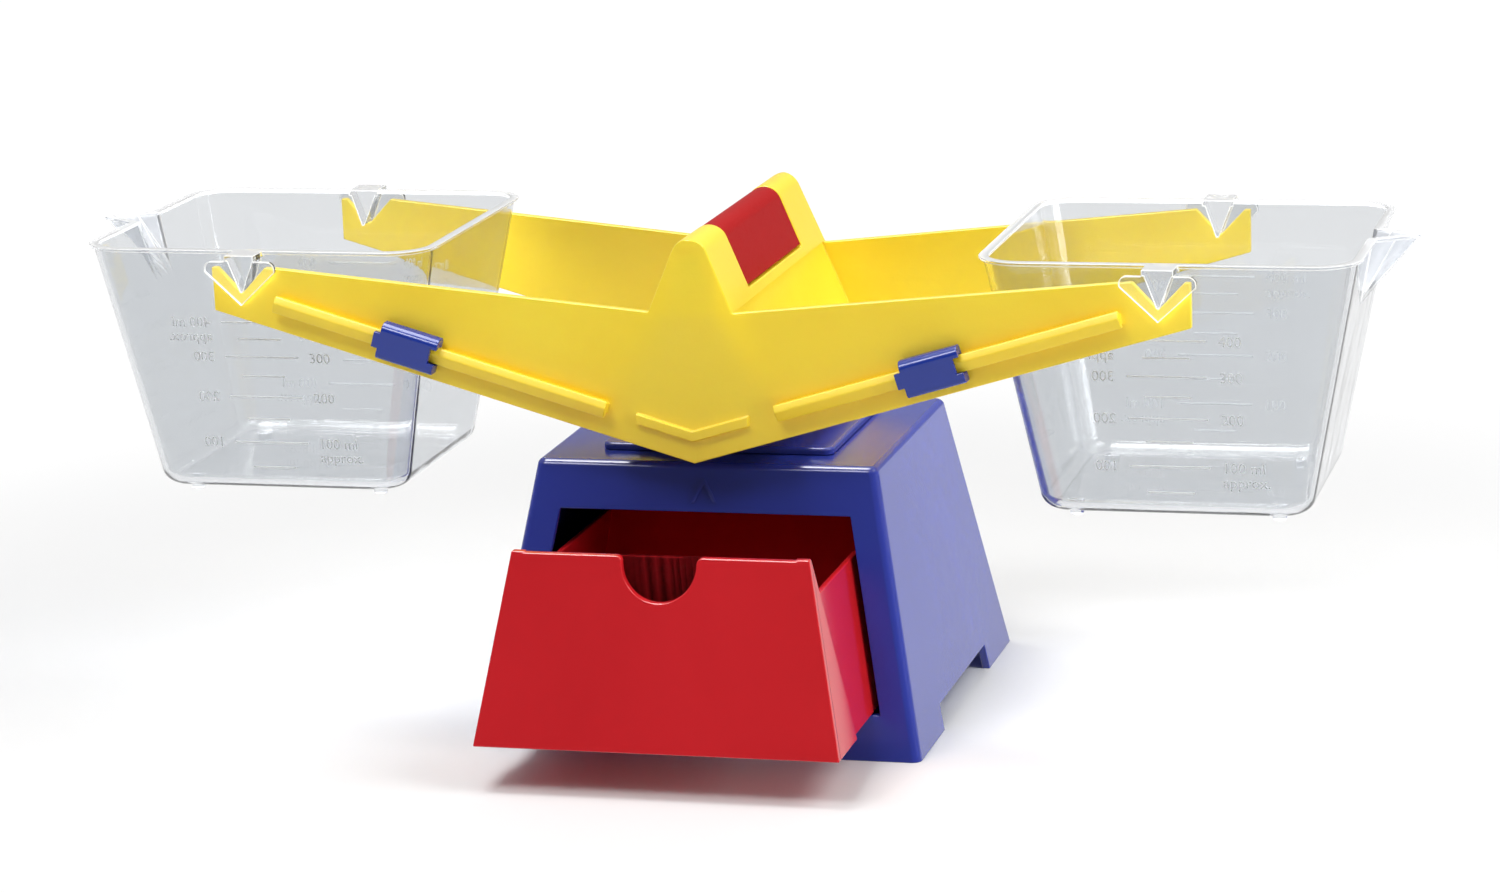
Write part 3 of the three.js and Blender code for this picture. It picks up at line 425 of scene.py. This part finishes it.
# A CAD solid's own shape with its sharp edges rounded, and the faces that round them
def rounded_shape(node):
    shape = bmesh.new()
    shape.from_mesh(nodes[node].data)
    bmesh.ops.remove_doubles(shape, verts=shape.verts, dist=WELD_REACH)
    bmesh.ops.dissolve_degenerate(shape, edges=shape.edges, dist=SHORTEST_EDGE)
    bmesh.ops.dissolve_limit(shape, angle_limit=LEVEL_ANGLE, verts=shape.verts, edges=shape.edges)
    radius = EDGE_RADII[node]
    room = 0 if slots[node] == "clip_blue" else EDGE_ROOM * radius
    sharp = [
        edge
        for edge in shape.edges
        if len(edge.link_faces) == 2
        and edge.calc_face_angle() > SHARP_EDGE
        and edge_room(edge) >= room
    ]
    rounded = bmesh.ops.bevel(
        shape,
        geom=sharp,
        offset=radius,
        offset_type="OFFSET",
        segments=EDGE_STEPS,
        profile=0.5,
        affect="EDGES",
        clamp_overlap=False,
        miter_outer="ARC",
    )
    return shape, rounded["faces"]


# The beam's walls lean inwards above the rails along the arms, and stand upright in a panel
# below the hump, which spreads downwards and has soft borders
PANEL_TOP = 134 * MM
PANEL_HALF_WIDTH = 12.2 * MM
PANEL_SPREAD = 0.45
PANEL_SOFT_EDGE = 5 * MM
WALLS_FROM = 57.1 * MM
LEAN_START = 104 * MM
LEAN_RISE = 0.2937
LEAN_EASE = 3 * MM
WALL_LEAN = 0.075

# Cuts that give the walls vertices to lean: close by the panel, wide along the arms, and level
CLOSE_CUTS = [step * 3 * MM for step in range(2, 16)]
WIDE_CUTS = [step * 15 * MM for step in range(4, 11)]
LEVEL_CUTS = [step * 4 * MM for step in range(25, 35)]
CUT_REACH = 1e-6


# The share of the lean is none in the panel and all of it along the arms, with an eased change
def lean_of_wall(across, height):
    border = PANEL_HALF_WIDTH + PANEL_SPREAD * (PANEL_TOP - height)
    share = min(max((across - border) / PANEL_SOFT_EDGE / 2 + 0.5, 0), 1)
    above = max(height - LEAN_START - LEAN_RISE * across, 0)
    eased = above * above / (above + LEAN_EASE)
    return WALL_LEAN * eased * share * share * (3 - 2 * share)


def lean_arms(shape):
    cuts = [((side * x, 0, 0), (1, 0, 0)) for x in CLOSE_CUTS + WIDE_CUTS for side in (-1, 1)]
    cuts += [((0, 0, z), (0, 0, 1)) for z in LEVEL_CUTS]
    for place, across in cuts:
        everything = [*shape.verts, *shape.edges, *shape.faces]
        bmesh.ops.bisect_plane(
            shape, geom=everything, dist=CUT_REACH, plane_co=place, plane_no=across
        )
    for vertex in shape.verts:
        deep = vertex.co.y - MIDDLE_Y
        if abs(deep) > WALLS_FROM:
            vertex.co.y -= math.copysign(lean_of_wall(abs(vertex.co.x), vertex.co.z), deep)

    # The cuts leave the faces in another order each time, so they go in the order of their corners
    shape.verts.index_update()
    in_order = sorted(shape.faces, key=lambda face: sorted(corner.index for corner in face.verts))
    for rank, face in enumerate(in_order):
        face.index = rank
    shape.faces.sort()


# A bucket's rim and rounded edges look white from a finish that paints their highlights, and the
# folded panels of its spout look milky from a finish that paints a highlight there
RIM_BAND = 2 * MM
FACING_UP = 0.6
FOLDED_SIDEWAYS = 0.2


def paint_bucket_highlights(shape, rounded_faces):
    rim = max(vertex.co.z for vertex in shape.verts) - RIM_BAND
    for face in shape.faces:
        middle = face.calc_center_median()
        in_spout = abs(middle.y - MIDDLE_Y) < SPOUT_HALF_WIDTH
        if in_spout and abs(face.normal.y) > FOLDED_SIDEWAYS:
            face.material_index = SPOUT_HIGHLIGHT_FINISH
        if middle.z > rim and face.normal.z > FACING_UP:
            face.material_index = RIM_HIGHLIGHT_FINISH
    # The rounded edges take the painted rim highlight too
    for face in rounded_faces:
        face.material_index = RIM_HIGHLIGHT_FINISH


def moulded_piece(node):
    shape, rounded_faces = rounded_shape(node)
    if node == "beam":
        lean_arms(shape)
    if slots[node] == "bucket_clear":
        paint_bucket_highlights(shape, rounded_faces)
    mesh = bpy.data.meshes.new(f"{node} moulded")
    shape.to_mesh(mesh)
    shape.free()
    for finish in FINISHES[slots[node]]:
        mesh.materials.append(finish)
    for face in mesh.polygons:
        face.use_smooth = True
    mesh.set_sharp_from_angle(angle=SMOOTH_ANGLE)
    piece = new_piece(f"{node}_moulded", mesh)
    weight = piece.modifiers.new("flat faces stay flat", "WEIGHTED_NORMAL")
    weight.keep_sharp = True
    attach(piece, body_of[node])
    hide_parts(node)


for node in EDGE_RADII:
    moulded_piece(node)


# Geometry Nodes trees with named sizes and a finish, each turned into a plain mesh for one body
SOCKET_KINDS = {int: "NodeSocketInt", float: "NodeSocketFloat"}


def new_tree(name, sizes):
    tree = bpy.data.node_groups.new(name, "GeometryNodeTree")
    add_socket(tree, "Geometry", "NodeSocketGeometry")
    for label, default in sizes.items():
        add_socket(tree, label, SOCKET_KINDS[type(default)], default=default)
    add_socket(tree, "Finish", "NodeSocketMaterial")
    add_socket(tree, "Geometry", "NodeSocketGeometry", into=False)
    return tree, add_node(tree, "NodeGroupInput").outputs


def moved(tree, shape, **change):
    return first_output(tree, "GeometryNodeTransform", {"Geometry": shape, **change})


def joined(tree, *shapes):
    whole = add_node(tree, "GeometryNodeJoinGeometry")
    for shape in shapes:
        tree.links.new(shape, whole.inputs[0])
    return whole.outputs[0]


def end_tree(tree, shape, finish):
    real = first_output(tree, "GeometryNodeRealizeInstances", {"Geometry": shape})
    finished = first_output(tree, "GeometryNodeSetMaterial", {"Geometry": real, "Material": finish})
    add_node(tree, "NodeGroupOutput", {"Geometry": finished})
    return tree


def grown_piece(name, mesh, tree, sizes):
    piece = new_piece(name, mesh)
    grow = piece.modifiers.new(tree.name, "NODES")
    grow.node_group = tree
    inputs = [item for item in tree.interface.items_tree if item.in_out == "INPUT"]
    identifiers = {item.name: item.identifier for item in inputs}
    for label, value in sizes.items():
        grow[identifiers[label]] = value
    bpy.context.view_layer.update()
    drawn = piece.evaluated_get(bpy.context.evaluated_depsgraph_get())
    plain = bpy.data.meshes.new_from_object(drawn)
    piece.modifiers.clear()
    piece.data = plain
    return piece


# Measure lines: half-round ridges up both long walls of a bucket, long and short by turns.
# Their steps get smaller upwards, because the bucket gets wider
LINE_START = -1.3 * MM
LINE_STEP = 9.0 * MM
LINE_STEP_LOSS = 0.24 * MM


def line_height(number):
    return LINE_START + LINE_STEP * number - LINE_STEP_LOSS * number * number


def measure_lines_tree():
    tree, size = new_tree(
        "measure lines",
        {
            "Count": 8,
            "Long Line": 24 * MM,
            "Short Line": 14 * MM,
            "Line Width": 0.6 * MM,
            "Relief": 0.2 * MM,
            "Height Start": LINE_START,
            "Height Step": LINE_STEP,
            "Step Loss": LINE_STEP_LOSS,
            "Bucket Bottom": BUCKET_BOTTOM,
            "Half Depth": BUCKET_HALF_DEPTH,
            "Flare": BUCKET_FLARE,
            "Middle Across": 0.0,
            "Middle Deep": 0.0,
        },
    )
    number = math_node(tree, "ADD", first_output(tree, "GeometryNodeInputIndex"), 1.0)
    square = math_node(tree, "MULTIPLY", number, number)
    height = math_node(tree, "MULTIPLY_ADD", number, size["Height Step"], size["Height Start"])
    lost = math_node(tree, "MULTIPLY", square, size["Step Loss"])
    height = math_node(tree, "SUBTRACT", height, lost)
    out = math_node(tree, "MULTIPLY_ADD", height, size["Flare"], size["Half Depth"])
    front = math_node(tree, "MULTIPLY", out, -1.0)
    up = math_node(tree, "ADD", height, size["Bucket Bottom"])
    row = first_output(tree, "GeometryNodeMeshLine", {"Count": size["Count"], "Offset": (0, 0, 0)})
    on_wall = {"Geometry": row, "Position": vector_node(tree, 0.0, front, up)}

    odd = math_node(tree, "MODULO", number, 2.0)
    even = math_node(tree, "SUBTRACT", 1.0, odd)
    longer = math_node(tree, "SUBTRACT", size["Long Line"], size["Short Line"])
    length = math_node(tree, "MULTIPLY_ADD", even, longer, size["Short Line"])
    half_width = math_node(tree, "MULTIPLY", size["Line Width"], 0.5)
    lean = math_node(tree, "ARCTANGENT", size["Flare"])
    rod_sizes = {"Vertices": 12, "Radius": 1.0, "Depth": 1.0}
    rod = first_output(tree, "GeometryNodeMeshCylinder", rod_sizes)
    lines = first_output(
        tree,
        "GeometryNodeInstanceOnPoints",
        {
            "Points": first_output(tree, "GeometryNodeSetPosition", on_wall),
            "Instance": moved(tree, rod, Rotation=(0, math.pi / 2, 0)),
            "Rotation": vector_node(tree, lean),
            "Scale": vector_node(tree, length, size["Relief"], half_width),
        },
    )
    both_walls = joined(tree, lines, moved(tree, lines, Rotation=(0, 0, math.pi)))
    middle = vector_node(tree, size["Middle Across"], size["Middle Deep"])
    return end_tree(tree, moved(tree, both_walls, Translation=middle), size["Finish"])


MEASURE_LINES = measure_lines_tree()

# Numerals: raised words beside the even lines, with a second row of words below some of them
DIGIT_HEIGHT = 3.2 * MM
DIGIT_SHARE_OF_FONT = 0.69
WORD_RELIEF = 0.14 * MM
WORD_ROUNDNESS = 3
WORD_START = 15.6 * MM
SECOND_ROW = -1.45 * DIGIT_HEIGHT


def word_mesh(words):
    letters = bpy.data.curves.new("words", "FONT")
    letters.body = words
    letters.size = DIGIT_HEIGHT / DIGIT_SHARE_OF_FONT
    letters.extrude = WORD_RELIEF
    letters.resolution_u = WORD_ROUNDNESS
    writer = bpy.data.objects.new("words", letters)
    bpy.context.scene.collection.objects.link(writer)
    bpy.context.view_layer.update()
    drawn = writer.evaluated_get(bpy.context.evaluated_depsgraph_get())
    mesh = bpy.data.meshes.new_from_object(drawn)
    bpy.data.objects.remove(writer)
    return mesh


# Numbers of millilitres: to be read from outside on the right, and from inside on the left.
# Each has its words, the number of the line that it stands beside, and how far it is set down
RIGHT_WORDS = [
    ("100 ml", 2, 0),
    ("approx.", 2, SECOND_ROW),
    ("200", 4, 0),
    ("300", 6, 0),
    ("400", 8, 0),
]
LEFT_WORDS = [
    ("100", 2, 0),
    ("200", 4, 0),
    ("300", 6, 0),
    ("400 ml", 8, 0),
    ("approx.", 8, SECOND_ROW),
]


def numerals_mesh(middle_x):
    lean = math.atan(BUCKET_FLARE)
    upright = Matrix.Rotation(math.pi / 2 + lean, 4, "X")
    on_wall = Matrix.Translation((0, -BUCKET_HALF_DEPTH, BUCKET_BOTTOM)) @ upright
    one_wall = bmesh.new()
    for side, rows in ((1, RIGHT_WORDS), (-1, LEFT_WORDS)):
        for words, number, drop in rows:
            mesh = word_mesh(words)
            up = line_height(number) / math.cos(lean) + drop - DIGIT_HEIGHT / 2
            mirrored = Matrix.Diagonal((side, 1, 1, 1))
            mesh.transform(mirrored @ Matrix.Translation((WORD_START, up, 0)))
            if side < 0:
                mesh.flip_normals()
            one_wall.from_mesh(mesh)
            bpy.data.meshes.remove(mesh)
    bmesh.ops.remove_doubles(one_wall, verts=one_wall.verts, dist=WELD_REACH)
    front = bpy.data.meshes.new("numerals on one wall")
    one_wall.to_mesh(front)
    one_wall.free()
    front.transform(on_wall)
    both = bmesh.new()
    both.from_mesh(front)
    front.transform(Matrix.Rotation(math.pi, 4, "Z"))
    both.from_mesh(front)
    bpy.data.meshes.remove(front)
    mesh = bpy.data.meshes.new("numerals")
    both.to_mesh(mesh)
    both.free()
    mesh.transform(Matrix.Translation((middle_x, MIDDLE_Y, 0)))
    mesh.materials.append(FROSTED_MARK)
    return mesh


for bucket, middle_x in (("bucket_left", -NOTCH_REACH), ("bucket_right", NOTCH_REACH)):
    lines = grown_piece(
        f"{bucket}_measure_lines",
        bpy.data.meshes.new("measure lines"),
        MEASURE_LINES,
        {"Middle Across": middle_x, "Middle Deep": MIDDLE_Y, "Finish": FROSTED_MARK},
    )
    numerals = new_piece(f"{bucket}_numerals", numerals_mesh(middle_x))
    for piece in (lines, numerals):
        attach(piece, body_of[bucket])


# Pan-head screws with a cross recess, one at each point, each turned at random
SCREW_HEAD_HEIGHT = 2.0 * MM
TURN_SEED = 4

# Shares of the head's radius and height, and the tip's share of the shank's radius
CROWN_RADIUS = 0.8
SLOT_LENGTH = 1.1
SLOT_WIDTH = 0.24
SLOT_HEIGHT = 1.2
TIP_RADIUS = 0.35


def screw_tree():
    tree, size = new_tree(
        "pan-head screws",
        {
            "Head Radius": 3.0 * MM,
            "Head Height": SCREW_HEAD_HEIGHT,
            "Shank Radius": 1.4 * MM,
            "Length": 8.0 * MM,
        },
    )
    head_sizes = {
        "Vertices": 32,
        "Side Segments": 4,
        "Radius Top": size["Head Radius"],
        "Radius Bottom": math_node(tree, "MULTIPLY", size["Head Radius"], CROWN_RADIUS),
        "Depth": size["Head Height"],
    }
    head = first_output(tree, "GeometryNodeMeshCone", head_sizes)
    slot_size = vector_node(
        tree,
        math_node(tree, "MULTIPLY", size["Head Radius"], SLOT_LENGTH),
        math_node(tree, "MULTIPLY", size["Head Radius"], SLOT_WIDTH),
        math_node(tree, "MULTIPLY", size["Head Height"], SLOT_HEIGHT),
    )
    slot = first_output(tree, "GeometryNodeMeshCube", {"Size": slot_size})
    cross = moved(tree, slot, Rotation=(0, 0, math.pi / 2))
    recessed = add_node(
        tree, "GeometryNodeMeshBoolean", {"Mesh 1": head}, operation="DIFFERENCE", solver="EXACT"
    )
    for cutter in (slot, cross):
        tree.links.new(cutter, recessed.inputs["Mesh 2"])
    shank_sizes = {
        "Vertices": 16,
        "Radius Top": math_node(tree, "MULTIPLY", size["Shank Radius"], TIP_RADIUS),
        "Radius Bottom": size["Shank Radius"],
        "Depth": size["Length"],
    }
    shank = first_output(tree, "GeometryNodeMeshCone", shank_sizes)
    under_head = vector_node(tree, z=size["Head Height"])
    turns = {"Min": 0.0, "Max": math.pi, "Seed": TURN_SEED}
    turn = add_node(tree, "FunctionNodeRandomValue", turns, data_type="FLOAT").outputs["Value"]
    screws = first_output(
        tree,
        "GeometryNodeInstanceOnPoints",
        {
            "Points": size["Geometry"],
            "Instance": joined(
                tree, recessed.outputs["Mesh"], moved(tree, shank, Translation=under_head)
            ),
            "Rotation": vector_node(tree, z=turn),
        },
    )
    return end_tree(tree, screws, size["Finish"])


SCREWS = screw_tree()
for family in ("floor_screw", "stand_screw"):
    members = [node for node in slots if node.startswith(family)]
    boxes = [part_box(node) for node in members]
    points = bpy.data.meshes.new(family)
    points.from_pydata([((a.x + b.x) / 2, (a.y + b.y) / 2, a.z) for a, b in boxes], [], [])
    low, high = boxes[0]
    screws = grown_piece(
        f"{family}s",
        points,
        SCREWS,
        {
            "Head Radius": (high.x - low.x) / 2,
            "Head Height": SCREW_HEAD_HEIGHT,
            "Length": high.z - low.z - SCREW_HEAD_HEIGHT,
            "Finish": PLATED_STEEL,
        },
    )
    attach(screws, body_of[members[0]])
    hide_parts(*members)


# Pale table top that keeps the shadow near the object, and is white far off and in reflections
FLOOR_REACH = 12
TABLE_GREY = (0.74, 0.74, 0.74, 1.0)
WHITE_FROM = 0.25
WHITE_BEYOND = 0.55
MIRRORED_FLOOR_GLOW = 0.85


def make_floor():
    far = FLOOR_REACH
    corners = [(-far, -far, 0), (far, -far, 0), (far, far, 0), (-far, far, 0)]
    mesh = bpy.data.meshes.new("floor")
    mesh.from_pydata(corners, [], [(0, 1, 2, 3)])
    floor = new_piece("floor", mesh)
    material, tree, shader = new_material("pale floor")
    place = add_node(tree, "ShaderNodeTexCoord").outputs["Object"]
    reach = add_node(tree, "ShaderNodeVectorMath", {0: place}, operation="LENGTH").outputs["Value"]
    path = add_node(tree, "ShaderNodeLightPath").outputs
    seen = math_node(tree, "ADD", path["Is Camera Ray"], path["Is Glossy Ray"])
    seen = math_node(tree, "ADD", seen, path["Is Transmission Ray"])
    seen = math_node(tree, "MINIMUM", seen, 1.0)
    mirrored = math_node(tree, "MULTIPLY", path["Is Glossy Ray"], MIRRORED_FLOOR_GLOW)
    white = math_node(tree, "MAXIMUM", eased_step(tree, reach, WHITE_FROM, WHITE_BEYOND), mirrored)
    glow = math_node(tree, "MULTIPLY", seen, white)
    blend_tones(tree, shader, glow, TABLE_GREY, BLACK)
    set_inputs(shader, {"Roughness": 0.7, "Specular IOR Level": 0.15})
    set_inputs(shader, {"Emission Color": WHITE, "Emission Strength": glow})
    mesh.materials.append(material)


# Dim studio that is lighter at the back and overhead, and white through the clear buckets
FRONT_LEVEL = 0.06
BACK_LEVEL = 0.2
OVERHEAD_LEVEL = 0.3
MIRRORED_STUDIO_GAIN = 1.2
LEVEL_THROUGH_CLEAR = 0.9


def make_world():
    world = bpy.data.worlds.new("studio")
    bpy.context.scene.world = world
    world.use_nodes = True
    tree = world.node_tree
    tree.nodes.clear()
    place = add_node(tree, "ShaderNodeTexCoord").outputs["Generated"]
    towards = add_node(tree, "ShaderNodeSeparateXYZ", {"Vector": place}).outputs
    depth = eased_step(tree, towards["Y"], -0.6, 0.4, low=FRONT_LEVEL, high=BACK_LEVEL)
    rise = eased_step(tree, towards["Z"], 0.2, 0.9, high=OVERHEAD_LEVEL)
    path = add_node(tree, "ShaderNodeLightPath").outputs
    mirrored = math_node(tree, "MULTIPLY_ADD", path["Is Glossy Ray"], MIRRORED_STUDIO_GAIN, 1.0)
    studio = math_node(tree, "MULTIPLY", math_node(tree, "ADD", depth, rise), mirrored)
    levels = {"Factor": path["Is Transmission Ray"], "A": studio, "B": LEVEL_THROUGH_CLEAR}
    level = add_node(tree, "ShaderNodeMix", levels, data_type="FLOAT").outputs["Result"]
    sky = first_output(tree, "ShaderNodeBackground", {"Color": WHITE, "Strength": level})
    add_node(tree, "ShaderNodeOutputWorld", {"Surface": sky})


# Softboxes light the object, and cards show only in its reflections
OBJECT_MIDDLE = (0, MIDDLE_Y, 0.1)
BASE_MIDDLE = (0, MIDDLE_Y, 0.06)


def softbox(name, place, size, power, aim=OBJECT_MIDDLE, in_reflections=True, on_surfaces=True):
    data = bpy.data.lights.new(name, "AREA")
    data.shape = "RECTANGLE"
    data.size, data.size_y = size
    data.energy = power
    lamp = bpy.data.objects.new(name, data)
    lamp.location = place
    lamp.rotation_euler = (Vector(aim) - Vector(place)).to_track_quat("-Z", "Y").to_euler()
    lamp.visible_glossy = in_reflections
    lamp.visible_diffuse = on_surfaces
    bpy.context.scene.collection.objects.link(lamp)


make_floor()
make_world()
softbox("right key", place=(1.0, -0.1, 1.25), size=(0.7, 0.7), power=9.8)
softbox(
    "right kicker",
    place=(1.4, -0.25, 0.3),
    size=(0.6, 0.4),
    power=8,
    aim=BASE_MIDDLE,
    in_reflections=False,
)
softbox("overhead box", place=(-0.36, -0.05, 1.5), size=(0.3, 0.45), power=8)
softbox("front fill", place=(-0.35, -0.85, 1.5), size=(0.8, 0.5), power=12, in_reflections=False)
softbox("overhead card", place=(-0.25, 0, 1.5), size=(1.1, 0.8), power=27, on_surfaces=False)
softbox("front card", place=(-0.42, -1.0, 1.2), size=(0.9, 0.35), power=14, on_surfaces=False)

bpy.context.scene.view_settings.view_transform = "Standard"
